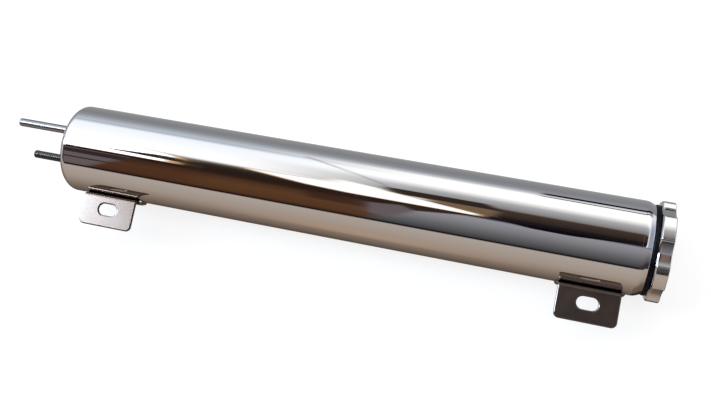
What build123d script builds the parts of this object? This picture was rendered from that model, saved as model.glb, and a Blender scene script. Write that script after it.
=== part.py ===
from build123d import *
import os

os.makedirs("parts", exist_ok=True)

# Coolant overflow tank: a polished stainless tube lying along X, its screw cap at +X and its
# two hose stubs at -X. Two welded L brackets carry it. The origin is midway between their
# slots, on the underside of the tabs. All sizes are in millimetres.

# Tube and its closures
tube_d = 50.8            # outside diameter, 2 in
tube_wall = 1.2
bracket_pitch = 274.6    # between the two brackets' slots
stub_end_gap = 30.3      # from the lower slot to the outer face of the pressed end cap
neck_end_gap = 20.7      # from the upper slot to the end of the tube
end_cap_skirt = 12.0     # length of the end cap's straight side and corner
end_cap_corner_r = 4.5

# Filler neck: a turned ring let into the tube, with a rounded shoulder outside
neck_shoulder_l = 5.0
neck_shoulder_drop = 1.5   # radial fall of the shoulder
neck_spigot_l = 11.0       # length let into the tube
neck_fit = 0.08            # slip fit of the ring in the tube
neck_wall = 7.4            # from the bore to the tube's outside; thread drawn as a plain bore

# Sealing ring between neck and cap
ring_l = 2.6
ring_recess = 1.2          # outer edge of the band inside the tube's outside
ring_t = 5.2               # radial width of the squeezed band
ring_edge_r = 0.9
seal_gap = 0.04

# Fluted screw cap
cap_overhang = 1.25        # cap's rim proud of the tube, all round
cap_l = 7.0
cap_back_chamfer = 1.4
cap_front_r = 1.3
flute_count = 6
flute_r = 14.0
flute_depth = 2.8
cap_turned = 7.0           # where the flutes stop with the cap tight, in degrees
cap_thread_gap = 0.3       # between the cap's screwed part and the neck
cap_spigot_l = 12.0
cap_spigot_wall = 4.0
cap_spigot_floor = 3.0     # metal left between the pocket and the head

# Hose stubs through the end cap
stub_d = 4.8
stub_bore_d = 3.0
stub_l = 35.0              # length outside the end cap
stub_fit = 0.03
stub_shank_d = 4.0         # turned-down shank under the weld and through the end cap
stub_y = 7.5               # offset of the standpipe from the axis, towards +Y
stub_z = 11.6              # and towards +Z; the other stub is opposite
stub_tip_chamfer = 0.4
return_stub_inside = 4.0
standpipe_top_gap = 9.0    # open end of the standpipe below the neck ring
stub_weld_leg = 1.4

# Brackets
bracket_l = 32.7           # along the tank
bracket_t = 1.6
bracket_bend_r = 2.2       # outside of the bend
bracket_leg = 16.0
bracket_flange = 18.85     # from the leg's tube side to the outer edge
bracket_corner_r = 3.0
bracket_edge_r = 0.35
slot_l = 11.4
slot_w = 6.8
slot_edge = 10.25          # slot's centre line from the outer edge
tab_above_axis = 6.4       # underside of the tab above the tube's axis
bead_r = 1.8
bead_l = 8.0

# Positions that follow
tube_r = tube_d / 2
tube_in_r = tube_r - tube_wall
tube_left_x = -bracket_pitch / 2 - stub_end_gap
tube_right_x = bracket_pitch / 2 + neck_end_gap
neck_bore_r = tube_r - neck_wall
ring_r = tube_r - ring_recess
cap_r = tube_r + cap_overhang
leg_y = bracket_flange - slot_edge       # tube side of the leg
axis_y = leg_y + tube_r
axis_z = -tab_above_axis
seam_x = tube_left_x + end_cap_skirt
neck_end_x = tube_right_x + neck_shoulder_l
neck_in_x = tube_right_x - neck_spigot_l
ring_x = neck_end_x + seal_gap
cap_back_x = ring_x + ring_l + seal_gap
cap_front_x = cap_back_x + cap_l
cap_spigot_r = neck_bore_r - cap_thread_gap
cap_pocket_r = cap_spigot_r - cap_spigot_wall
stub_r = stub_d / 2
shank_r = stub_shank_d / 2
stub_toe_x = tube_left_x - stub_weld_leg
stub_tip_x = tube_left_x - stub_l
standpipe_end_x = neck_in_x - standpipe_top_gap

# Axial plane for revolved profiles: local x runs along the tank, local y is the radius
tank_axis = Axis((0, axis_y, axis_z), (1, 0, 0))
profile_plane = Plane(origin=(0, axis_y, axis_z), x_dir=(1, 0, 0), z_dir=(0, 0, 1))


def cross_plane(x):
    """Section plane of the tank at x: local x is +Y, local y is +Z, normal is +X."""
    return Plane(origin=(x, axis_y, axis_z), x_dir=(0, 1, 0), z_dir=(1, 0, 0))


# Body tube
with BuildPart() as tank_tube:
    with BuildSketch(cross_plane(seam_x)):
        Circle(tube_r)
        Circle(tube_in_r, mode=Mode.SUBTRACT)
    extrude(amount=tube_right_x - seam_x)
tank_tube.part.label = "tank_tube"

# Pressed end cap: a shallow cup with a rounded rim, holed for the two stubs
with BuildPart() as bottom_cap:
    with BuildSketch(profile_plane):
        with BuildLine():
            Polyline(
                (seam_x, tube_in_r),
                (seam_x, tube_r),
                (tube_left_x + end_cap_corner_r, tube_r),
            )
            RadiusArc(
                (tube_left_x + end_cap_corner_r, tube_r),
                (tube_left_x, tube_r - end_cap_corner_r),
                -end_cap_corner_r,
            )
            Polyline(
                (tube_left_x, tube_r - end_cap_corner_r),
                (tube_left_x, 0),
                (tube_left_x + tube_wall, 0),
                (tube_left_x + tube_wall, tube_r - end_cap_corner_r),
            )
            RadiusArc(
                (tube_left_x + tube_wall, tube_r - end_cap_corner_r),
                (tube_left_x + end_cap_corner_r, tube_in_r),
                end_cap_corner_r - tube_wall,
            )
            Line((tube_left_x + end_cap_corner_r, tube_in_r), (seam_x, tube_in_r))
        make_face()
    revolve(axis=tank_axis)
    with BuildSketch(cross_plane(tube_left_x - 1)):
        with Locations((stub_y, stub_z), (-stub_y, -stub_z)):
            Circle(shank_r + stub_fit)
    extrude(amount=tube_wall + 2, mode=Mode.SUBTRACT)
bottom_cap.part.label = "bottom_cap"

# Filler neck
with BuildPart() as filler_neck:
    with BuildSketch(profile_plane):
        with BuildLine():
            TangentArc(
                (tube_right_x, tube_r),
                (neck_end_x, tube_r - neck_shoulder_drop),
                tangent=(1, 0),
            )
            Polyline(
                (neck_end_x, tube_r - neck_shoulder_drop),
                (neck_end_x, neck_bore_r),
                (neck_in_x, neck_bore_r),
                (neck_in_x, tube_in_r - neck_fit),
                (tube_right_x, tube_in_r - neck_fit),
                (tube_right_x, tube_r),
            )
        make_face()
    revolve(axis=tank_axis)
    mouth = filler_neck.edges().filter_by(GeomType.CIRCLE).group_by(Axis.X)[-1]
    chamfer(mouth.sort_by(SortBy.RADIUS)[0], 0.8)
filler_neck.part.label = "filler_neck"

# Sealing ring, squeezed to a flat-sided band
with BuildPart() as cap_o_ring:
    with BuildSketch(profile_plane):
        with Locations((ring_x + ring_l / 2, ring_r - ring_t / 2)):
            RectangleRounded(ring_l, ring_t, ring_edge_r)
    revolve(axis=tank_axis)
cap_o_ring.part.label = "cap_o_ring"

# Screw cap: turned blank with six scooped flutes and a hollow screwed spigot
with BuildPart() as filler_cap:
    with BuildSketch(profile_plane):
        with BuildLine():
            Polyline(
                (cap_back_x, 0),
                (cap_back_x, cap_r - cap_back_chamfer),
                (cap_back_x + cap_back_chamfer, cap_r),
                (cap_front_x, cap_r),
                (cap_front_x, 0),
                close=True,
            )
        make_face()
    revolve(axis=tank_axis)
    rim = filler_cap.edges().filter_by(GeomType.CIRCLE).group_by(Axis.X)[-1]
    fillet(rim, cap_front_r)
    with BuildSketch(cross_plane(cap_back_x - 1)):
        flute_centre = cap_r + flute_r - flute_depth
        with PolarLocations(flute_centre, flute_count, start_angle=90 + cap_turned):
            Circle(flute_r)
    extrude(amount=cap_l + 2, mode=Mode.SUBTRACT)
    with BuildSketch(cross_plane(cap_back_x)):
        Circle(cap_spigot_r)
    extrude(amount=-cap_spigot_l)
    with BuildSketch(cross_plane(cap_back_x - cap_spigot_l)):
        Circle(cap_pocket_r)
    extrude(amount=cap_spigot_l - cap_spigot_floor, mode=Mode.SUBTRACT)
    lead = filler_cap.edges().filter_by(GeomType.CIRCLE).group_by(Axis.X)[0]
    chamfer(lead.sort_by(SortBy.RADIUS)[-1], 0.8)
filler_cap.part.label = "filler_cap"


def stub_plane(x, side):
    """Section plane of a stub at x; side 1 is the standpipe, side -1 the return stub."""
    return Plane(
        origin=(x, axis_y + side * stub_y, axis_z + side * stub_z),
        x_dir=(0, 1, 0),
        z_dir=(1, 0, 0),
    )


def pipe(side, inner_end_x):
    """Hose stub outside the end cap, shouldered down to a shank that runs to inner_end_x."""
    with BuildPart() as turned:
        with BuildSketch(stub_plane(stub_tip_x, side)):
            Circle(stub_r)
        extrude(amount=stub_toe_x - stub_tip_x)
        tip = turned.edges().filter_by(GeomType.CIRCLE).group_by(Axis.X)[0]
        chamfer(tip, stub_tip_chamfer)
        with BuildSketch(stub_plane(stub_toe_x, side)):
            Circle(shank_r)
        extrude(amount=inner_end_x - stub_toe_x)
        with BuildSketch(stub_plane(stub_tip_x, side)):
            Circle(stub_bore_d / 2)
        extrude(amount=inner_end_x - stub_tip_x, mode=Mode.SUBTRACT)
    return turned.part


# Overflow standpipe: one pipe, hose stub outside and open end high in the tank
overflow_standpipe = pipe(1, standpipe_end_x)
overflow_standpipe.label = "overflow_standpipe"

# Return stub, opening just inside the end cap
return_stub = pipe(-1, tube_left_x + tube_wall + return_stub_inside)
return_stub.label = "return_stub"


def stub_weld(side):
    """Hollow-faced fillet weld round a stub where it leaves the end cap."""
    y, z = axis_y + side * stub_y, axis_z + side * stub_z
    plane = Plane(origin=(0, y, z), x_dir=(1, 0, 0), z_dir=(0, 0, 1))
    with BuildPart() as weld:
        with BuildSketch(plane):
            with BuildLine():
                Line((tube_left_x, shank_r), (tube_left_x, stub_r + stub_weld_leg))
                RadiusArc(
                    (tube_left_x, stub_r + stub_weld_leg),
                    (stub_toe_x, stub_r),
                    stub_weld_leg * 1.4,
                )
                Polyline((stub_toe_x, stub_r), (stub_toe_x, shank_r), (tube_left_x, shank_r))
            make_face()
        revolve(axis=Axis((0, y, z), (1, 0, 0)))
    return weld.part


standpipe_weld = stub_weld(1)
standpipe_weld.label = "standpipe_weld"
return_stub_weld = stub_weld(-1)
return_stub_weld.label = "return_stub_weld"


def bracket(x_centre):
    """Folded L bracket: leg flat against the tube's side, tab out at its top, slotted."""
    start = x_centre - bracket_l / 2
    plane = Plane(origin=(start, 0, 0), x_dir=(0, 1, 0), z_dir=(1, 0, 0))
    inner_r = bracket_bend_r - bracket_t
    with BuildPart() as folded:
        with BuildSketch(plane):
            with BuildLine():
                Polyline(
                    (-slot_edge, 0),
                    (leg_y - bracket_t - inner_r, 0),
                )
                RadiusArc(
                    (leg_y - bracket_t - inner_r, 0),
                    (leg_y - bracket_t, -inner_r),
                    inner_r,
                )
                Polyline(
                    (leg_y - bracket_t, -inner_r),
                    (leg_y - bracket_t, bracket_t - bracket_leg),
                    (leg_y, bracket_t - bracket_leg),
                    (leg_y, bracket_t - bracket_bend_r),
                )
                RadiusArc(
                    (leg_y, bracket_t - bracket_bend_r),
                    (leg_y - bracket_bend_r, bracket_t),
                    -bracket_bend_r,
                )
                Polyline(
                    (leg_y - bracket_bend_r, bracket_t),
                    (-slot_edge, bracket_t),
                    (-slot_edge, 0),
                )
            make_face()
        extrude(amount=bracket_l)
        corners = folded.edges().filter_by(Axis.Z).group_by(Axis.Y)[0]
        fillet(corners, bracket_corner_r)
        with BuildSketch(Plane.XY.offset(-1)):
            with Locations((x_centre, 0)):
                SlotOverall(slot_l, slot_w)
        extrude(amount=bracket_t + 2, mode=Mode.SUBTRACT)
        top = folded.faces().filter_by(Axis.Z).sort_by(Axis.Z)[-1]
        outline = top.outer_wire().edges()
        bend_start = leg_y - bracket_bend_r - 0.01
        fillet(outline.filter_by(lambda edge: (edge @ 0.5).Y < bend_start), bracket_edge_r)
    return folded.part


lower_bracket = bracket(-bracket_pitch / 2)
lower_bracket.label = "lower_bracket"
upper_bracket = bracket(bracket_pitch / 2)
upper_bracket.label = "upper_bracket"


def bracket_welds(x_centre):
    """Two lumpy beads, one against each end of a leg where it meets the tube."""
    waist = bead_r * 0.8
    third = bead_l / 3
    with BuildPart() as beads:
        for end in (-1, 1):
            x = x_centre + end * (bracket_l / 2 + bead_r * 0.2)
            plane = Plane(origin=(x, leg_y - bead_r * 0.2, axis_z), x_dir=(0, 0, 1), z_dir=(0, 1, 0))
            with BuildSketch(plane):
                with BuildLine():
                    Line((-bead_l / 2, 0), (-bead_l / 2, waist / 2))
                    ThreePointArc((-bead_l / 2, waist / 2), (-third, bead_r * 0.95), (-third / 2, waist))
                    ThreePointArc((-third / 2, waist), (0, bead_r), (third / 2, waist))
                    ThreePointArc((third / 2, waist), (third, bead_r * 0.95), (bead_l / 2, waist / 2))
                    Polyline((bead_l / 2, waist / 2), (bead_l / 2, 0), (-bead_l / 2, 0))
                make_face()
            revolve(axis=Axis(plane.origin, (0, 0, 1)))
        with BuildSketch(cross_plane(x_centre - bracket_l)):
            Circle(tube_r)
        extrude(amount=2 * bracket_l, mode=Mode.SUBTRACT)
        with Locations((x_centre, leg_y, axis_z)):
            Box(bracket_l, 2 * bracket_t, 2 * bracket_leg, mode=Mode.SUBTRACT)
    return beads.part


lower_bracket_welds = bracket_welds(-bracket_pitch / 2)
lower_bracket_welds.label = "lower_bracket_welds"
upper_bracket_welds = bracket_welds(bracket_pitch / 2)
upper_bracket_welds.label = "upper_bracket_welds"

export_step(tank_tube.part, "parts/tank_tube.step")
export_step(bottom_cap.part, "parts/bottom_cap.step")
export_step(filler_neck.part, "parts/filler_neck.step")
export_step(cap_o_ring.part, "parts/cap_o_ring.step")
export_step(filler_cap.part, "parts/filler_cap.step")
export_step(overflow_standpipe, "parts/overflow_standpipe.step")
export_step(return_stub, "parts/return_stub.step")
export_step(standpipe_weld, "parts/standpipe_weld.step")
export_step(return_stub_weld, "parts/return_stub_weld.step")
export_step(lower_bracket, "parts/lower_bracket.step")
export_step(upper_bracket, "parts/upper_bracket.step")
export_step(lower_bracket_welds, "parts/lower_bracket_welds.step")
export_step(upper_bracket_welds, "parts/upper_bracket_welds.step")
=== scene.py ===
# %% [markdown]
# # A polished coolant overflow tank
# The tank is a mirror-polished steel tube with a fluted screw cap at one end, two thin hose
# stubs at the other and two slotted brackets on its side. The solids come from a fixed frame,
# already in metres and in place. This lesson turns the shiny pieces again with fine, even
# faces, because a mirror shows every flat in a coarse mesh, and then gives each piece its finish.

# %% Load the frame
from math import atan2, cos, hypot, pi, radians, sin, tan

import bmesh
import bpy
from mathutils import Matrix, Vector


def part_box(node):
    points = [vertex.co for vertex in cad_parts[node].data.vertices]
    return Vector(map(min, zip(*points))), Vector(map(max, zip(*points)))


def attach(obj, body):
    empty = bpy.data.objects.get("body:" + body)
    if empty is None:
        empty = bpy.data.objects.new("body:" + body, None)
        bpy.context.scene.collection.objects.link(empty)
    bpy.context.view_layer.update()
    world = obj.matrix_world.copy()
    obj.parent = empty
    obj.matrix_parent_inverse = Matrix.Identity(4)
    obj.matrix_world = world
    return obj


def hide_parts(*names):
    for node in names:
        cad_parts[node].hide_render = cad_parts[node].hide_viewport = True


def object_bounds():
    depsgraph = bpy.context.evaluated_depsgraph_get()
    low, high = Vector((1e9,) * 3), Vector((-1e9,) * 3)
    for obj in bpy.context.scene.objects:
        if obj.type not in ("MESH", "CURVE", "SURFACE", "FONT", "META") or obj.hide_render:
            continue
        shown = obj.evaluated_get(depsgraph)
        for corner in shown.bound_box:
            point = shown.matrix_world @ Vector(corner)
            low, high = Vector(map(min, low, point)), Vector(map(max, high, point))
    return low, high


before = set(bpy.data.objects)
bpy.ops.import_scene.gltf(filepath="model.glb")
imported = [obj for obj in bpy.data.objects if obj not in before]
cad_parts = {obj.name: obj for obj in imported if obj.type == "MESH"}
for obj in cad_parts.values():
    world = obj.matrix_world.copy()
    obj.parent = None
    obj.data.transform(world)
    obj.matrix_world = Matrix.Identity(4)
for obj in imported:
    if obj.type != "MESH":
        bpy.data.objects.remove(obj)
cad_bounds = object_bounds()
print("CAD box:", [[round(v, 4) for v in corner] for corner in cad_bounds])

# %% [markdown]
# The main sizes are read from the solids' boxes, so that the turned pieces land exactly where
# the solids are. The tank's axis runs along X through the middle of the tube.

# %% Read the tank's sizes
MM = 0.001
tube_low, tube_high = (Vector(c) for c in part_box("tank_tube"))
cap_low, cap_high = (Vector(c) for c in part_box("filler_cap"))
neck_low, neck_high = (Vector(c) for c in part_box("filler_neck"))
ring_low, ring_high = (Vector(c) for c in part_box("cap_o_ring"))
end_low, end_high = (Vector(c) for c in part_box("bottom_cap"))
axis_y = (tube_low.y + tube_high.y) / 2
axis_z = (tube_low.z + tube_high.z) / 2
tube_r = (tube_high.y - tube_low.y) / 2
cap_r = (cap_high.y - cap_low.y) / 2
floor_z = cad_bounds[0][2]
print(f"axis at y {axis_y:.4f}, z {axis_z:.4f}; tube radius {tube_r:.4f}; cap radius {cap_r:.4f}")

# %% [markdown]
# ## A camera at the photograph's angle
# The photograph looks down on the tank, a little from the tab side, from about half a metre.
# The camera's place and its three axes are set directly as a matrix.

# %% Place the camera
IMAGE_W = 711
FOCAL_LENGTH_PX = 900.0
SENSOR_W = 36.0
camera_data = bpy.data.cameras.new("photo_camera")
camera = bpy.data.objects.new("photo_camera", camera_data)
bpy.context.scene.collection.objects.link(camera)
bpy.context.scene.camera = camera
camera_data.sensor_width = SENSOR_W
camera_data.lens = FOCAL_LENGTH_PX * SENSOR_W / IMAGE_W
camera_data.clip_start = 0.01
camera_right = Vector((0.96283, 0.19833, -0.18335))
camera_back = Vector((0.20638, -0.10228, 0.97311)).normalized()
camera_up = camera_back.cross(camera_right).normalized()
camera_right = camera_up.cross(camera_back).normalized()
camera_place = Vector((0.10851, -0.01929, 0.48497))
turn_to_tank = Matrix((camera_right, camera_up, camera_back)).transposed()
camera.matrix_world = Matrix.Translation(camera_place) @ turn_to_tank.to_4x4()
print("camera lens:", round(camera_data.lens, 2), "mm")

# %% [markdown]
# ## Tools for turning
# Most of the tank is turned or drawn round one axis. On a lathe a profile is swept round; in
# Blender a single vertex is extruded along that profile and then spun. A plane primitive merged
# to its centre gives the first vertex. Spin can leave the faces inside out, so doubles are
# merged and the normals recalculated afterwards.


# %% Helpers that start, turn and finish a piece
def start_piece(name, place):
    """Adds a primitive, merges it to one vertex at place and stays in edit mode."""
    bpy.ops.object.select_all(action="DESELECT")
    bpy.ops.mesh.primitive_plane_add(size=0.001, location=place)
    piece = bpy.context.object
    piece.name = name
    piece.data.name = name
    bpy.ops.object.mode_set(mode="EDIT")
    bpy.ops.mesh.select_all(action="SELECT")
    bpy.ops.mesh.merge(type="CENTER")
    return piece


def finish_piece(piece, body, node, smooth_angle=30):
    """Leaves edit mode, puts the piece's place into its mesh, hangs it under its body and hides
    the solid it replaces.
    """
    bpy.ops.object.mode_set(mode="OBJECT")
    bpy.ops.object.transform_apply(location=True, rotation=True, scale=True)
    bpy.ops.object.shade_smooth_by_angle(angle=radians(smooth_angle))
    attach(piece, body)
    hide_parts(node)
    print(piece.name, len(piece.data.polygons), "faces")


def turn(name, profile, steps, centre=(axis_y, axis_z)):
    """Spins a closed profile of (x, radius) points round a line along X through centre."""
    y, z = centre
    piece = start_piece(name, (profile[0][0], y, z + profile[0][1]))
    for (x0, r0), (x1, r1) in zip(profile, profile[1:] + profile[:1]):
        move = (x1 - x0, 0, r1 - r0)
        bpy.ops.mesh.extrude_region_move(TRANSFORM_OT_translate={"value": move})
    bpy.ops.mesh.select_all(action="SELECT")
    bpy.ops.mesh.remove_doubles(threshold=1e-6)
    bpy.ops.mesh.select_all(action="SELECT")
    bpy.ops.mesh.spin(steps=steps, angle=2 * pi, center=(0, y, z), axis=(1, 0, 0))
    bpy.ops.mesh.select_all(action="SELECT")
    bpy.ops.mesh.remove_doubles(threshold=1e-6)
    bpy.ops.mesh.normals_make_consistent(inside=False)
    return piece


def arc(x, r, radius, start, end, steps):
    """Profile points of an arc about (x, r); angles in degrees from +X towards the rim."""
    angles = [radians(start + (end - start) * k / steps) for k in range(steps + 1)]
    return [(x + radius * cos(a), r + radius * sin(a)) for a in angles]


def run(x0, x1, r, steps):
    """Evenly spaced profile points at one radius, both ends included."""
    return [(x0 + (x1 - x0) * k / steps, r) for k in range(steps + 1)]


# %% [markdown]
# ## The body tube
# On the real tank this is a length of 2 in tube with a wall of a little over a millimetre. Its
# two seams are ground flush and polished away, so its ends meet the end cap and the neck with
# no step and no line.

# %% Turn the body tube
tube_wall = 1.2 * MM
x0, x1 = tube_low.x, tube_high.x
tube_profile = run(x0, x1, tube_r, 12) + run(x1, x0, tube_r - tube_wall, 4)
body_tube = turn("body_tube", tube_profile, 256)
finish_piece(body_tube, "tank", "tank_tube")

# %% [markdown]
# ## The pressed end cap
# The end at the hose stubs is a shallow pressing with a rounded rim. A ring of points just
# inside the rounding keeps the flat face flat in its mirror. Two holes are cut for the stubs
# with the Boolean modifier, which is how a hole in a finished face is made by hand.

# %% Turn the end cap and bore its two holes
corner_r, hole_fit = 4.5 * MM, 0.03 * MM
x0, x1 = end_low.x, end_high.x
inner_r = corner_r - tube_wall
end_profile = (
    run(x1, x0 + corner_r + 0.3 * MM, tube_r, 3)
    + arc(x0 + corner_r, tube_r - corner_r, corner_r, 90, 180, 14)
    + [(x0, tube_r - corner_r - 0.3 * MM), (x0, 0), (x0 + tube_wall, 0)]
    + arc(x0 + corner_r, tube_r - corner_r, inner_r, 180, 90, 8)
    + [(x1, tube_r - tube_wall)]
)
end_cap = turn("end_cap", end_profile, 256)
bpy.ops.object.mode_set(mode="OBJECT")
stub_places = {}
for node in ("overflow_standpipe", "return_stub"):
    low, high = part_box(node)
    stub_places[node] = ((low[1] + high[1]) / 2, (low[2] + high[2]) / 2, low[0], high[0])
stub_r = (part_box("return_stub")[1][1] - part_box("return_stub")[0][1]) / 2
shank_r = stub_r - 0.4 * MM
for y, z, _, _ in stub_places.values():
    bpy.ops.object.select_all(action="DESELECT")
    bpy.ops.mesh.primitive_cylinder_add(
        vertices=64, radius=shank_r + hole_fit, depth=6 * MM,
        location=(x0, y, z), rotation=(0, pi / 2, 0))
    drill = bpy.context.object
    bpy.context.view_layer.objects.active = end_cap
    cut = end_cap.modifiers.new("hole", "BOOLEAN")
    cut.object = drill
    cut.solver = "EXACT"
    bpy.ops.object.modifier_apply(modifier=cut.name)
    bpy.data.objects.remove(drill, do_unlink=True)
bpy.ops.object.select_all(action="DESELECT")
end_cap.select_set(True)
bpy.context.view_layer.objects.active = end_cap
finish_piece(end_cap, "tank", "bottom_cap")

# %% [markdown]
# ## Threads and flutes
# A thread or a flute is cut after turning. Here the turned mesh has fine, even rows, and the
# cut moves its vertices towards the axis: by a wave that climbs with the angle for the thread,
# and down to a scoop's surface for the flutes. The grooves only go into the metal, so the
# crests stay where the solids are.


# %% Helpers that cut a turned piece
def polar(vertex, centre=(axis_y, axis_z)):
    """Radius and angle of a vertex round a line along X, the angle from +Y towards +Z."""
    dy, dz = vertex.co.y - centre[0], vertex.co.z - centre[1]
    return hypot(dy, dz), atan2(dz, dy)


def set_radius(vertex, radius, centre=(axis_y, axis_z)):
    """Moves a vertex along its own radius."""
    old, angle = polar(vertex, centre)
    vertex.co.y = centre[0] + radius * cos(angle)
    vertex.co.z = centre[1] + radius * sin(angle)


def cut_thread(piece, start_x, end_x, crest_r, depth, pitch=2 * MM):
    """Cuts a right-hand rounded thread; a positive depth goes away from the axis."""
    bpy.ops.object.mode_set(mode="OBJECT")
    bpy.ops.object.transform_apply(location=True, rotation=True, scale=True)
    for vertex in piece.data.vertices:
        r, angle = polar(vertex)
        if abs(r - crest_r) > 1e-5 or not start_x < vertex.co.x < end_x:
            continue
        ease = min(1, (vertex.co.x - start_x) / MM, (end_x - vertex.co.x) / MM)
        phase = (vertex.co.x / pitch + angle / (2 * pi)) % 1
        wave = 0.5 - 0.5 * cos(2 * pi * phase)
        set_radius(vertex, crest_r + depth * ease * wave)


# %% [markdown]
# ## The filler neck
# The neck is a turned ring let into the tube. Outside, its shoulder leaves the tube's line in a
# short arc and runs down to the sealing ring as a cone; inside it is threaded for the cap.

# %% Turn the neck and cut its thread
neck_bore_r, thread_depth = 18.0 * MM, 0.7 * MM
lip, lead_in = 0.1 * MM, 0.8 * MM
fitted_r = tube_r - tube_wall - 0.08 * MM
shoulder_x = tube_high.x
x0, x1 = neck_low.x, neck_high.x
shoulder_drop, cone_angle, shoulder_l = 1.5 * MM, 24, x1 - lip - shoulder_x
slope, half_slope = tan(radians(cone_angle)), tan(radians(cone_angle / 2))
arc_l = (shoulder_l * slope - shoulder_drop) / (slope - half_slope)
arc_r = arc_l / sin(radians(cone_angle))
shoulder = arc(shoulder_x, tube_r - arc_r, arc_r, 90, 90 - cone_angle, 16)[1:]
cone_l = shoulder_l - arc_l
shoulder += [(shoulder[-1][0] + cone_l * k / 6, shoulder[-1][1] - cone_l * slope * k / 6)
             for k in range(1, 6)]
print(f"shoulder {shoulder_l / MM:.2f} mm: arc {arc_l / MM:.2f}, cone {cone_l / MM:.2f}")
neck_profile = (
    [(x0, fitted_r), (shoulder_x, fitted_r), (shoulder_x, tube_r)] + shoulder
    + [(x1 - lip, tube_r - shoulder_drop), (x1, tube_r - shoulder_drop - lip)]
    + [(x1, neck_bore_r + lead_in)]
    + run(x1 - lead_in, x0, neck_bore_r, 76)
)
neck = turn("neck", neck_profile, 192)
cut_thread(neck, x0 - 2 * MM, x1 - 0.7 * MM, neck_bore_r, thread_depth)
finish_piece(neck, "tank", "filler_neck")

# %% [markdown]
# ## The sealing ring
# A black rubber ring squeezed flat between the neck and the cap. Its outer edge is rounded.

# %% Turn the sealing ring
ring_in_r, ring_out_r = 19.0 * MM, (ring_high.y - ring_low.y) / 2
ring_edge = 0.9 * MM
x0, x1 = ring_low.x, ring_high.x
ring_profile = (
    arc(x1 - ring_edge, ring_out_r - ring_edge, ring_edge, 0, 90, 6)
    + arc(x0 + ring_edge, ring_out_r - ring_edge, ring_edge, 90, 180, 6)
    + arc(x0 + ring_edge, ring_in_r + ring_edge, ring_edge, 180, 270, 6)
    + arc(x1 - ring_edge, ring_in_r + ring_edge, ring_edge, 270, 360, 6)
)
sealing_ring = turn("sealing_ring", ring_profile, 192)
finish_piece(sealing_ring, "seal", "cap_o_ring", 60)

# %% [markdown]
# ## The fluted cap
# The cap is a polished disc with six scooped finger flutes, and a hollow screwed spigot behind
# it. The blank is turned with a rounded rim. Each flute then presses the rim in towards a scoop
# circle, and the rounding follows it, so the flutes have soft edges as a buffed cap has.

# %% Turn the cap blank
back_x = ring_high.x + 0.04 * MM
front_x = cap_high.x
front_r, back_edge = 0.6 * MM, 0.7 * MM
spigot_r, pocket_r = neck_bore_r - 0.3 * MM, 13.7 * MM
spigot_x = cap_low.x
dish_r = 20.0 * MM
cap_profile = (
    [(front_x, 0)] + [(front_x, r * MM) for r in (5, 10, 15, 19.5, 20, 22, 24, 25)]
    + arc(front_x - front_r, cap_r - front_r, front_r, 0, 90, 8)
    + run(front_x - front_r - 0.3 * MM, back_x + back_edge + 0.4 * MM, cap_r, 6)
    + [(back_x + back_edge + 0.1 * MM, cap_r - 0.02 * MM)]
    + [(back_x + back_edge - 0.1 * MM, cap_r - 0.14 * MM)]
    + [(back_x + 0.1 * MM, cap_r - back_edge + 0.06 * MM), (back_x, cap_r - back_edge - 0.08 * MM)]
    + [(back_x, 22 * MM), (back_x, spigot_r)]
    + run(back_x - 0.2 * MM, spigot_x + 0.8 * MM, spigot_r, 72)
    + [(spigot_x, spigot_r - 0.8 * MM), (spigot_x, pocket_r + 0.4 * MM)]
    + [(spigot_x + 0.4 * MM, pocket_r), (back_x - 3 * MM, pocket_r), (back_x - 3 * MM, 0)]
)
screw_cap = turn("screw_cap", cap_profile, 360)
cut_thread(screw_cap, spigot_x - 2 * MM, back_x - 0.3 * MM, spigot_r, -thread_depth)

# %% [markdown]
# Each flute is a circle of 14 mm radius whose middle lies outside the rim. The distance from
# the axis to that circle is found for every angle, and the corner where flute and rim meet is
# eased over about a degree.

# %% Scoop the six flutes
flute_r, flute_depth, first_flute = 14 * MM, 2.8 * MM, 97
flute_centre = cap_r + flute_r - flute_depth


def rim_radius(angle):
    """The fluted rim's distance from the axis at an angle in radians."""
    turned = (angle - radians(first_flute) + pi / 6) % (pi / 3) - pi / 6
    side = flute_centre * sin(turned)
    if abs(side) >= flute_r:
        return cap_r
    scoop = flute_centre * cos(turned) - (flute_r ** 2 - side ** 2) ** 0.5
    soft = 0.25 * MM
    blend = min(1, max(0, 0.5 + (scoop - cap_r) / (2 * soft)))
    return scoop + (cap_r - scoop) * blend - soft * blend * (1 - blend)


for vertex in screw_cap.data.vertices:
    r, angle = polar(vertex)
    if r > dish_r and vertex.co.x > back_x - 0.1 * MM:
        share = (r - dish_r) / (cap_r - dish_r)
        set_radius(vertex, dish_r + share * (rim_radius(angle) - dish_r))
finish_piece(screw_cap, "cap", "filler_cap")

# %% [markdown]
# ## The hose stubs
# Two thin tubes go through the end cap. The upper one carries on inside as the standpipe and
# is bright; the lower one is short, dull and covered with fine uneven ridges left by its
# drawing. Both have a turned-down shank under the weld.


# %% Turn the two pipes
def pipe(name, node, ridges):
    """A thin tube with a soft tip, a bore and a shank; ridges gives their height."""
    y, z, tip_x, inner_x = stub_places[node]
    bore_r, toe_x = 1.5 * MM, end_low.x - 1.4 * MM
    rows = 110
    outside = []
    for k in range(rows + 1):
        x = tip_x + 0.5 * MM + (toe_x - tip_x - 0.5 * MM) * k / rows
        wave = abs(sin(k * 1.9) * sin(k * 0.77 + 1))
        outside.append((x, stub_r - ridges * wave))
    profile = (
        [(tip_x, bore_r + 0.15 * MM), (tip_x, stub_r - 0.4 * MM)]
        + [(tip_x + 0.12 * MM, stub_r - 0.2 * MM)] + outside
        + [(toe_x, shank_r), (inner_x, shank_r), (inner_x, bore_r), (tip_x + 0.15 * MM, bore_r)]
    )
    piece = turn(name, profile, 48, (y, z))
    finish_piece(piece, "tank", node, 40)
    return piece


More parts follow.
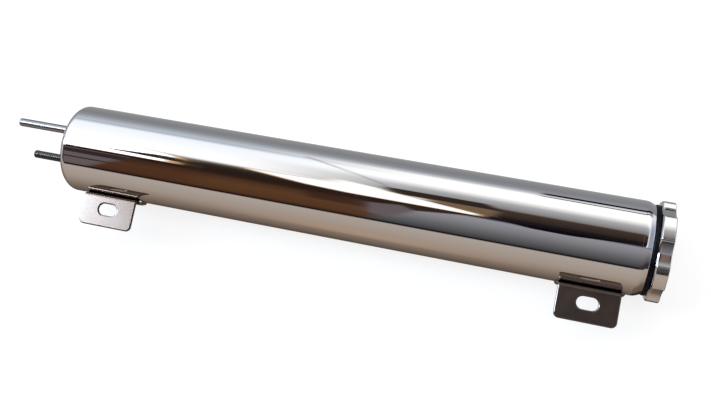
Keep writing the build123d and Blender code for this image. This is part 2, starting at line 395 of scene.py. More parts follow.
standpipe = pipe("standpipe", "overflow_standpipe", 0)
short_stub = pipe("short_stub", "return_stub", 0.16 * MM)

# %% [markdown]
# ## The stub welds
# Each stub is welded in from outside. The bead is a small hollow fillet with the overlapping
# ripples of hand welding, so a turned ring gets a wave round it that fades out at its edges.


# %% Turn the ring welds and ripple them
def ring_weld(name, node, stub):
    """A fillet ring round a stub, with ripples pressed into its face."""
    (x0, y0, z0), (x1, y1, z1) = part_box(node)
    centre = ((y0 + y1) / 2, (z0 + z1) / 2)
    out_r = (y1 - y0) / 2
    face = []
    for k in range(9):
        t = k / 8
        bulge = 0.16 * MM * sin(pi * t)
        face.append((x0 + (x1 - x0) * t ** 1.5 - bulge, stub_r + (out_r - stub_r) * t ** 0.8))
    face[0] = (x0, stub_r + 0.02 * MM)
    face[-1] = (x1, out_r)
    piece = turn(name, face + [(x1, shank_r), (x0, shank_r)], 96, centre)
    bpy.ops.object.mode_set(mode="OBJECT")
    bpy.ops.object.transform_apply(location=True, rotation=True, scale=True)
    for vertex in piece.data.vertices:
        r, angle = polar(vertex, centre)
        share = (r - stub_r) / (out_r - stub_r)
        if 0.05 < share < 0.95:
            ripple = abs(sin(6.5 * angle + 2.5 * share))
            vertex.co.x += 0.22 * MM * (1 - ripple) * sin(pi * share)
    finish_piece(piece, "tank", node, 50)
    return piece


stub_welds = [ring_weld("upper_ring_weld", "standpipe_weld", "overflow_standpipe"),
              ring_weld("lower_ring_weld", "return_stub_weld", "return_stub")]

# %% [markdown]
# ## The brackets
# Each bracket is a piece of sheet, cut to shape, slotted and folded once. It is made the same
# way here: the outline and the slot are traced with one vertex each, filled, and extruded to
# the sheet's thickness. The edge face is then spun a quarter turn for the bend and extruded
# for the leg, whose foot gets rounded corners. A Bevel modifier breaks the cut edges, and
# weighted normals keep the faces flat.


# %% Helper that traces a closed loop in edit mode
def trace_loop(points):
    """Adds a vertex at the first point and extrudes it round the loop."""
    bpy.ops.mesh.select_all(action="DESELECT")
    bpy.ops.mesh.primitive_plane_add(size=0.001, location=points[0])
    bpy.ops.mesh.merge(type="CENTER")
    for start, end in zip(points, points[1:] + points[:1]):
        move = tuple(b - a for a, b in zip(start, end))
        bpy.ops.mesh.extrude_region_move(TRANSFORM_OT_translate={"value": move})


def round_points(x, y, z, radius, start, end, steps):
    """Points of an arc in a plane at height z, angles in degrees."""
    angles = [radians(start + (end - start) * k / steps) for k in range(steps + 1)]
    return [(x + radius * cos(a), y + radius * sin(a), z) for a in angles]


def open_edges(piece):
    """Number of edges that don't join exactly two faces."""
    shell = bmesh.new()
    shell.from_mesh(piece.data)
    count = sum(1 for edge in shell.edges if len(edge.link_faces) != 2)
    shell.free()
    return count


# %% Fold the two brackets
sheet_t, bend_r, tab_corner_r = 1.6 * MM, 2.2 * MM, 3.0 * MM
slot_l, slot_w, foot_r = 11.4 * MM, 6.8 * MM, 6.0 * MM


def fold_bracket(name, node):
    """Cuts, slots and folds one bracket in the box of its solid."""
    low, high = (Vector(c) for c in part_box(node))
    middle, top = (low.x + high.x) / 2, high.z
    bottom, bend_y = top - sheet_t, high.y - bend_r
    piece = start_piece(name, (middle, 0, bottom))
    bpy.ops.mesh.delete(type="VERT")
    trace_loop([(low.x, bend_y, bottom)]
               + round_points(low.x + tab_corner_r, low.y + tab_corner_r, bottom,
                              tab_corner_r, 180, 270, 10)
               + round_points(high.x - tab_corner_r, low.y + tab_corner_r, bottom,
                              tab_corner_r, 270, 360, 10)
               + [(high.x, bend_y, bottom)])
    reach = (slot_l - slot_w) / 2
    trace_loop(round_points(middle + reach, 0, bottom, slot_w / 2, -90, 90, 16)
               + round_points(middle - reach, 0, bottom, slot_w / 2, 90, 270, 16))
    bpy.ops.mesh.select_all(action="SELECT")
    bpy.ops.mesh.remove_doubles(threshold=1e-6)
    bpy.ops.mesh.select_all(action="SELECT")
    bpy.ops.mesh.fill(use_beauty=True)
    bpy.ops.mesh.select_all(action="SELECT")
    bpy.ops.mesh.extrude_region_move(TRANSFORM_OT_translate={"value": (0, 0, sheet_t)})
    bpy.ops.mesh.select_all(action="SELECT")
    bpy.ops.mesh.dissolve_limited(angle_limit=radians(1))
    bpy.ops.mesh.select_all(action="SELECT")
    bpy.ops.mesh.normals_make_consistent(inside=False)
    bpy.ops.mesh.select_all(action="DESELECT")
    bpy.context.tool_settings.mesh_select_mode = (False, False, True)
    sheet = bmesh.from_edit_mesh(piece.data)
    for face in sheet.faces:
        centre = piece.matrix_world @ face.calc_center_median()
        face.select_set(face.normal.y > 0.9 and abs(centre.y - bend_y) < 1e-5)
    bmesh.update_edit_mesh(piece.data)
    bpy.ops.mesh.spin(steps=12, angle=pi / 2, center=(0, bend_y, top - bend_r), axis=(1, 0, 0))
    bpy.ops.mesh.extrude_region_move(
        TRANSFORM_OT_translate={"value": (0, 0, low.z - (top - bend_r))})
    bpy.ops.mesh.select_all(action="SELECT")
    bpy.ops.mesh.remove_doubles(threshold=1e-6)
    bpy.ops.mesh.normals_make_consistent(inside=False)
    bpy.ops.mesh.select_all(action="DESELECT")
    bpy.context.tool_settings.mesh_select_mode = (False, True, False)
    sheet = bmesh.from_edit_mesh(piece.data)
    for edge in sheet.edges:
        ends = [piece.matrix_world @ vertex.co for vertex in edge.verts]
        at_foot = all(abs(end.z - low.z) < 1e-5 for end in ends)
        edge.select_set(at_foot and abs(ends[0].x - ends[1].x) < 1e-5)
    bmesh.update_edit_mesh(piece.data)
    bpy.ops.mesh.bevel(offset=foot_r, segments=10)
    bpy.context.tool_settings.mesh_select_mode = (True, False, False)
    bpy.ops.object.mode_set(mode="OBJECT")
    bpy.ops.object.transform_apply(location=True, rotation=True, scale=True)
    edge_break = piece.modifiers.new("edge_break", "BEVEL")
    edge_break.width, edge_break.segments = 0.7 * MM, 5
    edge_break.limit_method, edge_break.angle_limit = "ANGLE", radians(50)
    edge_break.use_clamp_overlap = False
    bpy.ops.object.modifier_apply(modifier=edge_break.name)
    bpy.ops.object.shade_smooth()
    flat_faces = piece.modifiers.new("flat_faces", "WEIGHTED_NORMAL")
    bpy.ops.object.modifier_apply(modifier=flat_faces.name)
    finish_piece(piece, "tank", node, 180)
    print("open edges:", open_edges(piece), "box", [round(v, 5) for v in piece.dimensions])
    return piece


brackets = [fold_bracket("lower_tab_bracket", "lower_bracket"),
            fold_bracket("upper_tab_bracket", "upper_bracket")]

# %% [markdown]
# ## The bracket welds
# A short bead at each end of a leg joins it to the tube. Each bead starts as a circle and is
# extruded upwards ring by ring, wider at each drop of weld metal and narrower between. The
# tube and the leg are then cut out of it, so it sits in their corner as real weld metal does.


# %% Lay the beads
def weld_beads(name, node, bracket_node):
    """Two rippled beads, one at each end of a bracket's leg, as one piece."""
    leg_low, leg_high = (Vector(c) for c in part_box(bracket_node))
    bead_r, bead_l, drops, rings = 1.8 * MM, 8 * MM, 5, 30
    piece = None
    for x in (leg_low.x - 0.2 * bead_r, leg_high.x + 0.2 * bead_r):
        bpy.ops.object.select_all(action="DESELECT")
        bpy.ops.mesh.primitive_circle_add(
            vertices=28, radius=bead_r, fill_type="NGON",
            location=(x, leg_high.y + 0.1 * bead_r, axis_z - bead_l / 2))
        bead = bpy.context.object
        bpy.ops.object.mode_set(mode="EDIT")
        size = 1.0
        for k in range(rings + 1):
            t = k / rings
            drop = abs(sin(pi * drops * t + 0.3))
            wanted = (0.35 + 0.65 * sin(pi * (0.08 + 0.84 * t)) ** 0.6) * (0.88 + 0.12 * drop)
            if k:
                bpy.ops.mesh.extrude_region_move(
                    TRANSFORM_OT_translate={"value": (0, 0, bead_l / rings)})
            bpy.ops.transform.resize(value=(wanted / size, wanted / size, 1))
            size = wanted
        bpy.ops.mesh.select_all(action="SELECT")
        bpy.ops.mesh.normals_make_consistent(inside=False)
        bpy.ops.object.mode_set(mode="OBJECT")
        if piece is None:
            piece = bead
        else:
            piece.select_set(True)
            bpy.context.view_layer.objects.active = piece
            bpy.ops.object.join()
    piece.name = piece.data.name = name
    bpy.ops.mesh.primitive_cylinder_add(vertices=256, radius=tube_r, depth=60 * MM,
                                        location=((leg_low.x + leg_high.x) / 2, axis_y, axis_z),
                                        rotation=(0, pi / 2, 0))
    tube_cutter = bpy.context.object
    bpy.ops.mesh.primitive_cube_add(size=1, location=(leg_low + leg_high) / 2)
    leg_cutter = bpy.context.object
    leg_cutter.scale = (leg_high.x - leg_low.x, 6 * MM, 60 * MM)
    leg_cutter.location.y = leg_high.y
    bpy.ops.object.select_all(action="DESELECT")
    piece.select_set(True)
    bpy.context.view_layer.objects.active = piece
    for cutter in (tube_cutter, leg_cutter):
        cut = piece.modifiers.new("cut", "BOOLEAN")
        cut.object, cut.solver = cutter, "EXACT"
        bpy.ops.object.modifier_apply(modifier=cut.name)
        bpy.data.objects.remove(cutter, do_unlink=True)
    finish_piece(piece, "tank", node, 50)
    print("open edges:", open_edges(piece), "beads between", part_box(node))
    return piece


beads = [weld_beads("lower_beads", "lower_bracket_welds", "lower_bracket"),
         weld_beads("upper_beads", "upper_bracket_welds", "upper_bracket")]

# %% [markdown]
# ## Materials
# Every finish is worked out in the shader from Object coordinates, in metres. What more than
# one material uses is a node group with named sockets: fine lines left by a polishing belt or
# brush, and the smudges and dust that gather on bright metal.


# %% Helpers that place and link nodes
def add_node(tree, kind, links=(), **settings):
    """Adds a node, sets its properties and links or fills its inputs."""
    node = tree.nodes.new(kind)
    for key, value in settings.items():
        setattr(node, key, value)
    for socket, source in dict(links).items():
        if isinstance(source, bpy.types.NodeSocket):
            tree.links.new(source, node.inputs[socket])
        else:
            node.inputs[socket].default_value = source
    return node


def calc(tree, operation, a, b=0.0):
    """One Math node; a and b are numbers or sockets."""
    return add_node(tree, "ShaderNodeMath", {0: a, 1: b}, operation=operation).outputs[0]


def ease(tree, value, low, high, out_low=0.0, out_high=1.0):
    """A smooth step of a value between two limits."""
    node = add_node(tree, "ShaderNodeMapRange", {
        "Value": value, "From Min": low, "From Max": high, "To Min": out_low, "To Max": out_high})
    node.interpolation_type = "SMOOTHSTEP"
    return node.outputs[0]


def shade(red, green, blue, gain=1.0):
    """A colour given as on a screen, 0 to 255, as the linear values that a shader wants."""
    return tuple(gain * ((c / 255 + 0.055) / 1.055) ** 2.4 if c > 10 else gain * c / 3294
                 for c in (red, green, blue)) + (1.0,)


def mix_colour(tree, factor, first, second):
    """Mixes two colours by a factor."""
    node = add_node(tree, "ShaderNodeMix", {0: factor, 6: first, 7: second}, data_type="RGBA")
    return node.outputs[2]


def new_group(name, inputs, outputs):
    """An empty node group with named inputs (name: default) and outputs."""
    group = bpy.data.node_groups.new(name, "ShaderNodeTree")
    for key, value in inputs.items():
        kind = "NodeSocketVector" if isinstance(value, tuple) else "NodeSocketFloat"
        socket = group.interface.new_socket(name=key, in_out="INPUT", socket_type=kind)
        socket.default_value = value
    for key in outputs:
        group.interface.new_socket(name=key, in_out="OUTPUT", socket_type="NodeSocketFloat")
    start = group.nodes.new("NodeGroupInput")
    end = group.nodes.new("NodeGroupOutput")
    return group, start, end


# %% [markdown]
# Grain is a noise that is squeezed hard along one direction, so it becomes lines across it. It
# gives a height for the bump and a roughness that changes with it. On a turned piece the lines
# are rings: there the noise reads the distance from the tank's axis instead of Y and Z.

# %% Build the grain group
grain_group, start, end = new_group(
    "grain_lines", {"Line Spacing": (1.0, 1.0, 1.0), "Turned": 0.0, "Roughness": 0.1,
                    "Spread": 0.05},
    ["Height", "Roughness"])
place = add_node(grain_group, "ShaderNodeTexCoord")
apart = add_node(grain_group, "ShaderNodeSeparateXYZ", {0: place.outputs["Object"]})
from_axis = add_node(grain_group, "ShaderNodeCombineXYZ", {
    1: calc(grain_group, "SUBTRACT", apart.outputs[1], axis_y),
    2: calc(grain_group, "SUBTRACT", apart.outputs[2], axis_z)})
distance = add_node(grain_group, "ShaderNodeVectorMath", {0: from_axis.outputs[0]},
                    operation="LENGTH")
on_lathe = add_node(grain_group, "ShaderNodeCombineXYZ", {
    0: apart.outputs[0], 1: distance.outputs["Value"]})
chosen = add_node(grain_group, "ShaderNodeMix", {
    0: start.outputs["Turned"], 4: place.outputs["Object"], 5: on_lathe.outputs[0]},
    data_type="VECTOR")
stretched = add_node(grain_group, "ShaderNodeVectorMath", {
    0: chosen.outputs[1], 1: start.outputs["Line Spacing"]}, operation="MULTIPLY")
lines = add_node(grain_group, "ShaderNodeTexNoise", {
    "Vector": stretched.outputs[0], "Scale": 1.0, "Detail": 4.0, "Roughness": 0.7})
swing = calc(grain_group, "MULTIPLY", calc(grain_group, "SUBTRACT", lines.outputs[0], 0.5),
             start.outputs["Spread"])
rough = calc(grain_group, "ADD", start.outputs["Roughness"], swing)
grain_group.links.new(lines.outputs[0], end.inputs["Height"])
grain_group.links.new(rough, end.inputs["Roughness"])

# %% [markdown]
# Smudges are broad soft patches where hands have touched the metal, and dust is small and
# sparse. Both only make the metal a little less sharp.

# %% Build the smudge group
smudge_group, start, end = new_group(
    "smudges", {"Size": 40.0, "Amount": 0.05}, ["Dulling"])
place = add_node(smudge_group, "ShaderNodeTexCoord")
patches = add_node(smudge_group, "ShaderNodeTexNoise", {
    "Vector": place.outputs["Object"], "Scale": start.outputs["Size"], "Detail": 5.0})
specks = add_node(smudge_group, "ShaderNodeTexNoise", {
    "Vector": place.outputs["Object"], "Scale": 900.0, "Detail": 1.0})
soft = ease(smudge_group, patches.outputs[0], 0.48, 0.75)
dust = ease(smudge_group, specks.outputs[0], 0.72, 0.78, 0.0, 0.6)
both = calc(smudge_group, "MAXIMUM", soft, dust)
smudge_group.links.new(
    calc(smudge_group, "MULTIPLY", both, start.outputs["Amount"]), end.inputs["Dulling"])


# %% [markdown]
# A metal is a Principled shader with Metallic at 1. Its roughness is the grain's plus the
# smudges', and the grain's height goes through a Bump node.

# %% Helper that makes a metal
def metal(name, colour, spacing, roughness, spread, smudge_size, smudge, bump, waviness=0.0,
          turned=0.0):
    """A grained metal; bump is the grain's height and waviness a slow unevenness, in metres."""
    material = bpy.data.materials.new(name)
    material.use_nodes = True
    tree = material.node_tree
    shader = tree.nodes["Principled BSDF"]
    shader.inputs["Metallic"].default_value = 1.0
    shader.inputs["Base Color"].default_value = colour
    grain = add_node(tree, "ShaderNodeGroup", node_tree=grain_group)
    grain.inputs["Line Spacing"].default_value = spacing
    grain.inputs["Turned"].default_value = turned
    grain.inputs["Roughness"].default_value = roughness
    grain.inputs["Spread"].default_value = spread
    smudges = add_node(tree, "ShaderNodeGroup", node_tree=smudge_group)
    smudges.inputs["Size"].default_value = smudge_size
    smudges.inputs["Amount"].default_value = smudge
    total = calc(tree, "ADD", grain.outputs["Roughness"], smudges.outputs["Dulling"])
    tree.links.new(total, shader.inputs["Roughness"])
    relief = add_node(tree, "ShaderNodeBump", {
        "Height": grain.outputs["Height"], "Distance": bump, "Strength": 1.0})
    if waviness:
        place = add_node(tree, "ShaderNodeTexCoord")
        slow = add_node(tree, "ShaderNodeTexNoise", {
            "Vector": place.outputs["Object"], "Scale": 25.0, "Detail": 1.0})
        wave = add_node(tree, "ShaderNodeBump", {
            "Height": slow.outputs[0], "Distance": waviness, "Strength": 1.0})
        tree.links.new(wave.outputs[0], relief.inputs["Normal"])
    tree.links.new(relief.outputs[0], shader.inputs["Normal"])
    return material


mirror_steel = metal("mirror_steel", (0.90, 0.89, 0.88, 1), (900, 12, 12), 0.035, 0.03,
                     35, 0.035, 1.5e-7, 1.0e-5)
cap_alloy = metal("polished_alloy", (0.88, 0.87, 0.86, 1), (1500, 2600, 1), 0.09, 0.07,
                  60, 0.06, 6e-7, turned=1.0)
bright_stub = metal("drawn_bright_steel", (0.43, 0.42, 0.43, 1), (15, 3000, 3000), 0.24, 0.14,
                    120, 0.08, 2e-6)
dull_stub = metal("drawn_dull_steel", (0.11, 0.105, 0.105, 1), (700, 500, 500), 0.26, 0.25,
                  200, 0.15, 2e-5)
weld_metal = metal("welded_steel", (0.34, 0.30, 0.27, 1), (1200, 1200, 1200), 0.32, 0.3,
                   300, 0.15, 6e-5)
# The sheet's base colour is set darker and browner than bare steel. This is painted shade and a
# painted warm reflection, so the tabs and their mirror image in the tube come out dark and brown.
sheet_steel = metal("brushed_sheet", (0.38, 0.31, 0.27, 1), (25, 2500, 2500), 0.20, 0.10,
                    90, 0.04, 3e-6)
# Painted shade: this near-black metal goes on the bracket edges that face +X and −Y, on the −X end
# walls and on the slot's walls, so they read as dark outlines and a shaded slot. The −X edge
# roundings keep the sheet's finish and stay bright.
edge_shade = metal("painted_edge_shade", (0.10, 0.08, 0.07, 1), (900, 900, 150), 0.30, 0.2,
                 300, 0.1, 1e-5)

sheet_steel.node_tree.nodes["Principled BSDF"].inputs["Specular Tint"].default_value = (
    0.1, 0.1, 0.1, 1)

# %% [markdown]
# The cap's end face is faced on a lathe, so its grooves are rings. They spread light across
# themselves, which gives the bright and dark fans of a turned face.

# %% Make the turned end face
turned_face = metal("turned_face", (0.84, 0.83, 0.82, 1), (1500, 2600, 1), 0.26, 0.10,
                    60, 0.06, 9e-7, turned=1.0)
tree = turned_face.node_tree
place = add_node(tree, "ShaderNodeTexCoord")
outward = add_node(tree, "ShaderNodeVectorMath", {
    0: place.outputs["Object"], 1: (0, axis_y, axis_z)}, operation="SUBTRACT")
round_it = add_node(tree, "ShaderNodeVectorMath", {
    0: (1, 0, 0), 1: outward.outputs[0]}, operation="CROSS_PRODUCT")
in_world = add_node(tree, "ShaderNodeVectorTransform", {0: round_it.outputs[0]},
                    vector_type="VECTOR", convert_from="OBJECT", convert_to="WORLD")
unit = add_node(tree, "ShaderNodeVectorMath", {0: in_world.outputs[0]}, operation="NORMALIZE")
shader = tree.nodes["Principled BSDF"]
shader.inputs["Anisotropic"].default_value = 0.85
tree.links.new(unit.outputs[0], shader.inputs["Tangent"])

# %% Make the sealing rubber
rubber = bpy.data.materials.new("seal_rubber")
rubber.use_nodes = True
tree = rubber.node_tree
shader = tree.nodes["Principled BSDF"]
place = add_node(tree, "ShaderNodeTexCoord")
pores = add_node(tree, "ShaderNodeTexNoise", {
    "Vector": place.outputs["Object"], "Scale": 1500.0, "Detail": 3.0})
bloom = add_node(tree, "ShaderNodeTexNoise", {
    "Vector": place.outputs["Object"], "Scale": 120.0, "Detail": 2.0})
black = mix_colour(tree, ease(tree, bloom.outputs[0], 0.45, 0.7),
                   (0.003, 0.003, 0.005, 1), (0.007, 0.007, 0.013, 1))
shader.inputs["Specular IOR Level"].default_value = 0.1
tree.links.new(black, shader.inputs["Base Color"])
tree.links.new(ease(tree, pores.outputs[0], 0.3, 0.7, 0.30, 0.42), shader.inputs["Roughness"])
relief = add_node(tree, "ShaderNodeBump", {
    "Height": pores.outputs[0], "Distance": 1e-5, "Strength": 1.0})
tree.links.new(relief.outputs[0], shader.inputs["Normal"])

# %% Give each piece its finish


def dress(piece, material):
    """Gives a piece one material."""
    piece.data.materials.clear()
    piece.data.materials.append(material)


dress(body_tube, mirror_steel)
dress(end_cap, mirror_steel)
dress(neck, mirror_steel)
dress(sealing_ring, rubber)
dress(screw_cap, cap_alloy)
screw_cap.data.materials.append(turned_face)
for face in screw_cap.data.polygons:
    face.material_index = 1 if face.normal.x > 0.9 else 0
dress(standpipe, bright_stub)
dress(short_stub, dull_stub)
for bead in stub_welds + beads:
    dress(bead, weld_metal)
for bracket in brackets:
    dress(bracket, sheet_steel)
    bracket.data.materials.append(edge_shade)
    # Painted shade: edge faces turned towards +X or −Y, the −X end walls and the slot's walls get
    # the dark edge metal. The −X roundings keep the bright sheet.
    for face in bracket.data.polygons:
        wall = face.normal.x > 0.35 or face.normal.x < -0.96 or face.normal.y < -0.35
        in_slot = abs(face.normal.z) < 0.5 and face.center.z > -0.001 and face.center.y < 0.006
        face.material_index = 1 if wall or in_slot else 0

# %% [markdown]
# ## The studio
# A mirror has no colour of its own: what it shows is the studio. The world shader paints a
# plain studio by direction, in bands that run along the tank, as long soft boxes and flags
# do: white light above, grey on the far side, brown and slate flags, and a warm table on the
# near side. The height angle is measured round the tank's axis from straight up towards +Y,
# and the along angle towards +X.

# %% Measure directions in the world shader
world = bpy.data.worlds.new("studio")
bpy.context.scene.world = world
world.use_nodes = True
sky = world.node_tree
sky.nodes.clear()
towards = add_node(sky, "ShaderNodeTexCoord")
parts = add_node(sky, "ShaderNodeSeparateXYZ", {0: towards.outputs["Generated"]})
height = calc(sky, "DEGREES", calc(sky, "ARCTAN2", parts.outputs[1], parts.outputs[2]))
along = calc(sky, "DEGREES", calc(sky, "ARCSINE", parts.outputs[0]))


def bands(stops):
    """A colour ramp over the height angle, from (degrees, colour) stops."""
    node = add_node(sky, "ShaderNodeValToRGB", {
        0: calc(sky, "DIVIDE", calc(sky, "ADD", height, 180.0), 360.0)})
    ramp = node.color_ramp
    while len(ramp.elements) > 1:
        ramp.elements.remove(ramp.elements[-1])
    for k, (degrees, colour) in enumerate(sorted(stops)):
        place = (degrees + 180) / 360
        element = ramp.elements[0] if k == 0 else ramp.elements.new(place)
        element.position = place
        element.color = colour
    return node.outputs[0]


def side_of(start, end, soft):
    """1 on the left of the line from start to end, both (along, height) in degrees."""
    run_x, run_y = end[0] - start[0], end[1] - start[1]
    size = hypot(run_x, run_y)
    a, b = -run_y / size, run_x / size
    offset = -(a * start[0] + b * start[1])
    distance = calc(sky, "ADD", calc(sky, "MULTIPLY", along, a),
                    calc(sky, "ADD", calc(sky, "MULTIPLY", height, b), offset))
    return ease(sky, distance, -soft, soft)


def flag(corners, soft):
    """A soft-edged convex panel; corners go anticlockwise with along as x, height as y."""
    mask = None
    for start, end in zip(corners, corners[1:] + corners[:1]):
        side = side_of(start, end, soft)
        mask = side if mask is None else calc(sky, "MULTIPLY", mask, side)
    return mask


# %% Paint the two sets of bands
white = shade(255, 255, 255, 1.15)
cool_white = shade(240, 246, 255, 1.12)
table = [(-180, shade(80, 68, 60)), (-150, shade(100, 86, 76)), (-120, shade(134, 118, 106)),
         (-90, shade(168, 153, 142)), (-58, shade(178, 168, 160)), (-56.5, shade(24, 20, 20)),
         (-54, shade(16, 13, 14))]
far_side = [(98, shade(146, 150, 158)), (112, shade(132, 134, 138)), (140, shade(146, 147, 150)),
            (165, shade(172, 172, 175)), (180, shade(150, 150, 152))]
stub_end = bands(table + [
    (-52, shade(66, 40, 26)), (-47, shade(86, 56, 36)), (-28, shade(93, 62, 40)),
    (-16, shade(78, 51, 36)), (-9, shade(46, 31, 23)), (0, shade(40, 30, 26)),
    (9, shade(48, 38, 32)), (15, shade(96, 86, 80)), (21, white),
    (30, white), (68, cool_white), (76, shade(176, 186, 200)),
    (80, shade(196, 203, 214))] + far_side)
cap_end = bands(table + [
    (-51, shade(66, 66, 70)), (-34, shade(104, 104, 108)), (-14, shade(142, 141, 147)),
    (-5, shade(150, 150, 158)), (-1, shade(30, 28, 34)), (6, shade(24, 20, 24)),
    (12, shade(52, 42, 38)), (26, shade(70, 55, 48)), (29, shade(134, 131, 130)),
    (44, shade(178, 179, 184)), (58, white), (82, white), (88, shade(205, 207, 214))] + far_side)

# %% Join the bands
upper_join = ease(sky, along, -21.0, -6.0)
lower_join = side_of((-8.0, 0.0), (-11.0, -50.0), 0.8)
join = add_node(sky, "ShaderNodeMix", {
    0: ease(sky, height, 19.0, 24.0), 2: lower_join, 3: upper_join}).outputs[0]
colour = mix_colour(sky, join, stub_end, cap_end)

# %% [markdown]
# The panels come next, in order: a later one lies over an earlier one. Each has its corners as
# (along, height) in degrees, the softness of its edges, its strength and its colour.

# %% Hang the panels
black_violet = shade(9, 6, 20)
line_violet = shade(14, 10, 30)
panels = [
    ("grey_strip", [(-11.2, -13), (-11.0, -38), (-9.6, -38), (-8.0, -14), (-8.4, -4)],
     0.4, 1.0, shade(104, 94, 98)),
    ("brown_foot", [(-9.6, 1.5), (-8.2, -14), (-3.8, 1.2)], 0.4, 1.0, shade(50, 38, 31)),
    ("dark_dip", [(-3.2, 1.5), (-0.8, -6.2), (1.8, -6.8), (6.4, 1.5)],
     0.4, 1.0, shade(14, 11, 15)),
    ("warm_patch", [(-17, -116), (-4, -116), (-4, -94), (-17, -94)],
     7.0, 0.6, shade(184, 156, 132)),
    ("seam", [(-15.7, 80), (-10.2, 35), (-9.8, 35), (-15.3, 80)],
     0.18, 0.75, shade(128, 128, 134)),
    ("brown_flag", [(-10.3, 33.0), (-9.8, 20), (-2.6, 20), (-3.6, 34.0)],
     0.5, 1.0, shade(50, 40, 36)),
    ("red_flag", [(-30, -53), (-23, -53), (-21, -12), (-30, -12)],
     1.5, 0.35, shade(58, 30, 26)),
    ("dark_corner", [(-15, -27), (-11.3, -27), (-11.3, -12), (-15, -10)],
     0.5, 0.7, shade(56, 34, 27)),
    ("dark_end", [(-0.4, 89.8), (6, 89.8), (6, 95.8), (-0.4, 96.2)], 0.4, 1.0, black_violet),
    ("dark_end_on_neck", [(5.6, 89.6), (31, 99.0), (31, 108.0), (5.6, 96.0)],
     0.4, 1.0, black_violet),
    ("thin_line", [(-0.6, 83.0), (6, 80.6), (6, 83.4), (-0.6, 85.4)], 0.4, 1.0, line_violet),
    ("thin_line_on_neck", [(5.6, 80.6), (31, 90.0), (31, 93.0), (5.6, 83.4)],
     0.4, 1.0, line_violet),
    ("tan_patch", [(-8, 21.5), (-4.6, 6), (-3.2, 6), (-2.8, 21.5)],
     0.5, 0.8, shade(128, 106, 84)),
    ("fringe", [(-20.0, 17), (-15.4, 3.7), (-12.5, 0.8), (-3.9, 1.2), (-3.6, 5.5), (-10, 23),
                (-12.0, 23)], 0.4, 1.0, shade(184, 140, 92)),
    ("wedge", [(-19.2, 17), (-15.2, 4.8), (-12.5, 1.7), (-4.4, 1.9), (-4.0, 5), (-10, 22),
               (-12.0, 22)], 0.3, 1.0, white),
    ("peak", [(-14, 21), (-10.2, 21), (-10.2, 25), (-13, 31)], 0.4, 1.0, white),
    ("end_fringe", [(-36, -4.6), (-23.2, -4.6), (-22.8, 14), (-25, 20), (-30, 23), (-36, 23)],
     0.4, 1.0, shade(196, 150, 100)),
    ("end_light", [(-36, -3.2), (-24.3, -3.2), (-23.6, 14), (-25, 19), (-30, 23), (-36, 23)],
     0.4, 1.0, shade(255, 255, 255, 2.0)),
    ("end_blot", [(-28.2, 4.5), (-24.6, 2.0), (-22.6, 2.0), (-23.0, 9), (-24.2, 12)],
     0.4, 1.0, shade(44, 38, 36)),
    ("tab_light", [(-70, -4), (-31, -4), (-31, 15), (-70, 15)],
     0.5, 1.0, shade(203, 229, 255, 13.4)),
    ("under_dark", [(-23.0, -7.5), (-23.0, -4.6), (-40, -4.4), (-40, -9.5)],
     0.5, 1.0, shade(20, 15, 14)),
    ("stub_wall", [(-40, -52), (-28.6, -52), (-26.2, -9), (-40, -9)],
     0.3, 1.0, shade(104, 93, 94)),
    ("stub_bar", [(-40, -21), (-26.6, -21), (-25.8, -10), (-40, -13)],
     0.6, 1.0, shade(52, 42, 44)),
    ("low_bar", [(-40, -36), (-27.6, -34), (-27.2, -31), (-40, -33)],
     0.6, 1.0, shade(40, 30, 32)),
    ("slate_foot", [(8, -50), (12, -55.5), (60, -72), (60, -50)], 1.5, 1.0, shade(54, 50, 55)),
]


def lay_over(under, mask, strength, tone, name):
    """Mixes a tone over the colour where the mask is 1, and labels the node."""
    if strength < 1:
        mask = calc(sky, "MULTIPLY", mask, strength)
    over = mix_colour(sky, mask, under, tone)
    over.node.label = name
    return over


for name, corners, soft, strength, tone in panels:
    colour = lay_over(colour, flag(corners, soft), strength, tone, name)
print(len(panels), "panels")

# %% [markdown]
# Beyond the tube's end only the neck's arc and the cap look out. The arc sees a light strip
# past the end of the bands, and the cap's rim and flutes see a narrow slice of their own.

# %% Paint what the neck and the cap see
band_end = flag([(-20, -2), (26, -2), (33, 2), (36, 9), (36, 100), (-20, 100)], 1.0)
neck_light = calc(sky, "MULTIPLY", calc(sky, "SUBTRACT", 1.0, band_end),
                  flag([(9, -1.5), (66, -1.5), (66, 106), (34, 106)], 2.0))
neck_tone = mix_colour(sky, ease(sky, along, 38.0, 50.0),
                       shade(232, 234, 244), shade(148, 160, 178))
colour = mix_colour(sky, neck_light, colour, neck_tone)


def window(value, start, full, fade, end):
    """1 between full and fade, easing to 0 at start and end, in degrees."""
    return calc(sky, "MULTIPLY", ease(sky, value, start, full), ease(sky, value, end, fade))


cap_only = window(along, 6.3, 6.6, 7.8, 8.1)
for name, limits, strength, tone in [
        ("cap_line", (80, 82, 97, 99), 1.0, shade(14, 13, 20)),
        ("flute_glow", (-6, 0, 26, 30), 1.0, shade(146, 125, 117)),
        ("flute_dusk", (-54, -50, -12, -4), 0.6, shade(58, 54, 56))]:
    mask = calc(sky, "MULTIPLY", cap_only, window(height, *limits))
    colour = lay_over(colour, mask, strength, tone, name)
for name, low, high, strength, tone in [
        ("under_cap", -104.0, -126.0, 0.8, shade(96, 80, 72)),
        ("cap_foot", -140.0, -154.0, 1.0, shade(48, 42, 38))]:
    mask = calc(sky, "MULTIPLY", ease(sky, along, 6.4, 7.0), ease(sky, height, low, high))
    colour = lay_over(colour, mask, strength, tone, name)

# %% [markdown]
# Past the tank's two ends the studio is plain: a pale wall that darkens downwards, so the flat
# face of the cap and the end cap show a soft slope of grey in the end views.

# %% Paint the two end walls
upward = parts.outputs[2]
wall_tone = mix_colour(sky, ease(sky, upward, -0.6, 0.7),
                       shade(92, 88, 86), shade(226, 229, 234))
end_walls = ease(sky, calc(sky, "ABSOLUTE", along), 58.0, 70.0)
colour = mix_colour(sky, end_walls, colour, wall_tone)

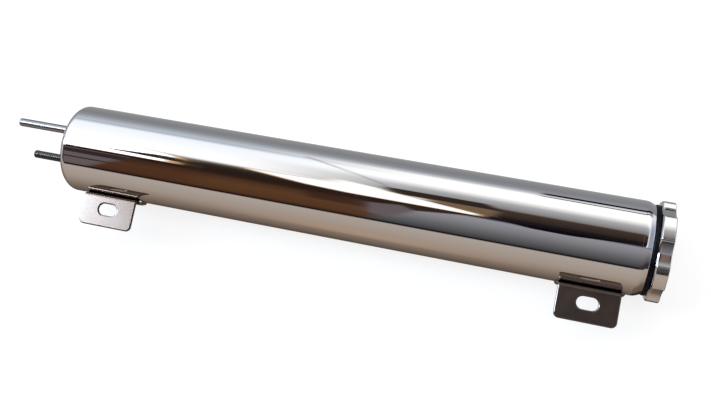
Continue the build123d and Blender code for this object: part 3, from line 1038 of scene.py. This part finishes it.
# %% [markdown]
# The camera itself sees a plain pale backdrop, so only the reflections see the painted studio.
# The floor does the same: it lets mirror rays through and is plain and nearly white to the
# camera, with the tank's soft shadow on it.

# %% Light the world and lay the floor
rays = add_node(sky, "ShaderNodeLightPath")
studio = add_node(sky, "ShaderNodeBackground", {"Color": colour, "Strength": 1.0})
backdrop = add_node(sky, "ShaderNodeBackground", {
    "Color": (0.97, 0.97, 0.97, 1), "Strength": 1.0})
choice = add_node(sky, "ShaderNodeMixShader", {
    0: rays.outputs["Is Camera Ray"], 1: studio.outputs[0], 2: backdrop.outputs[0]})
add_node(sky, "ShaderNodeOutputWorld", {"Surface": choice.outputs[0]})

bpy.ops.object.select_all(action="DESELECT")
bpy.ops.mesh.primitive_plane_add(size=12, location=(0, 0, floor_z - 0.0002))
floor = bpy.context.object
floor.name = "studio_floor"
paper = bpy.data.materials.new("pale_paper")
paper.use_nodes = True
tree = paper.node_tree
tree.nodes.clear()
rays = add_node(tree, "ShaderNodeLightPath")
matt = add_node(tree, "ShaderNodeBsdfDiffuse", {"Color": (0.24, 0.24, 0.24, 1)})
glow = add_node(tree, "ShaderNodeEmission", {"Color": (1, 1, 1, 1), "Strength": 0.82})
both = add_node(tree, "ShaderNodeAddShader", {0: matt.outputs[0], 1: glow.outputs[0]})
clear = add_node(tree, "ShaderNodeBsdfTransparent")
pick = add_node(tree, "ShaderNodeMixShader", {
    0: rays.outputs["Is Glossy Ray"], 1: both.outputs[0], 2: clear.outputs[0]})
add_node(tree, "ShaderNodeOutputMaterial", {"Surface": pick.outputs[0]})
floor.data.materials.append(paper)

# %% Hang one large soft light
bpy.ops.object.light_add(type="AREA", location=(-0.1, 0.5, 1.4))
soft_light = bpy.context.object
soft_light.name = "soft_light"
soft_light.data.shape = "RECTANGLE"
soft_light.data.size, soft_light.data.size_y = 1.6, 1.2
soft_light.data.energy = 14
soft_light.rotation_euler = (radians(-18), 0, 0)
soft_light.visible_glossy = False
bpy.context.scene.view_settings.view_transform = "Standard"
